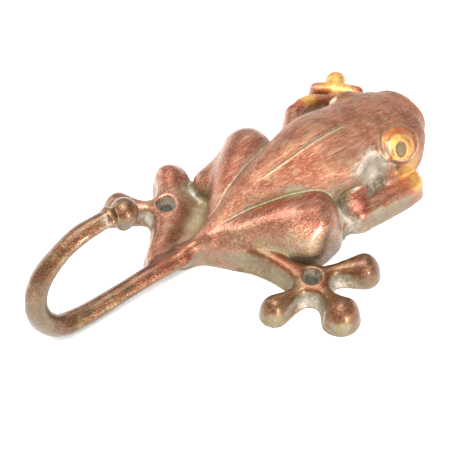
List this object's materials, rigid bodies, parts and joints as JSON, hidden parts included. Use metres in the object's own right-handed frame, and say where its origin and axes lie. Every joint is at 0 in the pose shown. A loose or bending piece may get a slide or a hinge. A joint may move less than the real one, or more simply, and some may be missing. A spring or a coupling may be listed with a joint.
{
  "type": "frog wall hook",
  "caption": "Cast metal wall hook in the shape of a climbing tree frog, with a long J hook ending in a ball and screw holes in both hind feet.",
  "frame": {"origin": "middle of the footprint, on the wall face", "axes": "+X towards the frog's head, which is up when the hook hangs; +Y towards the frog's left side; +Z away from the wall"},
  "size_m": [0.1862, 0.11, 0.0584],
  "materials": {
    "body_patina": "red copper patina, rubbed bright on the high places, grey-green in the grooves",
    "foreleg_patina": "red copper patina turning orange gold at the hands",
    "hook_bronze": "brown bronze patina with streaks of olive"
  },
  "bodies": {
    "root": {"trunk_shell": "body_patina", "right_hind_leg": "body_patina", "left_hind_leg": "body_patina", "right_hind_foot": "body_patina", "left_hind_foot": "body_patina", "right_foreleg": "foreleg_patina", "left_foreleg": "foreleg_patina", "hook_rod": "hook_bronze", "hook_ball": "hook_bronze"}
  },
  "joints": []
}
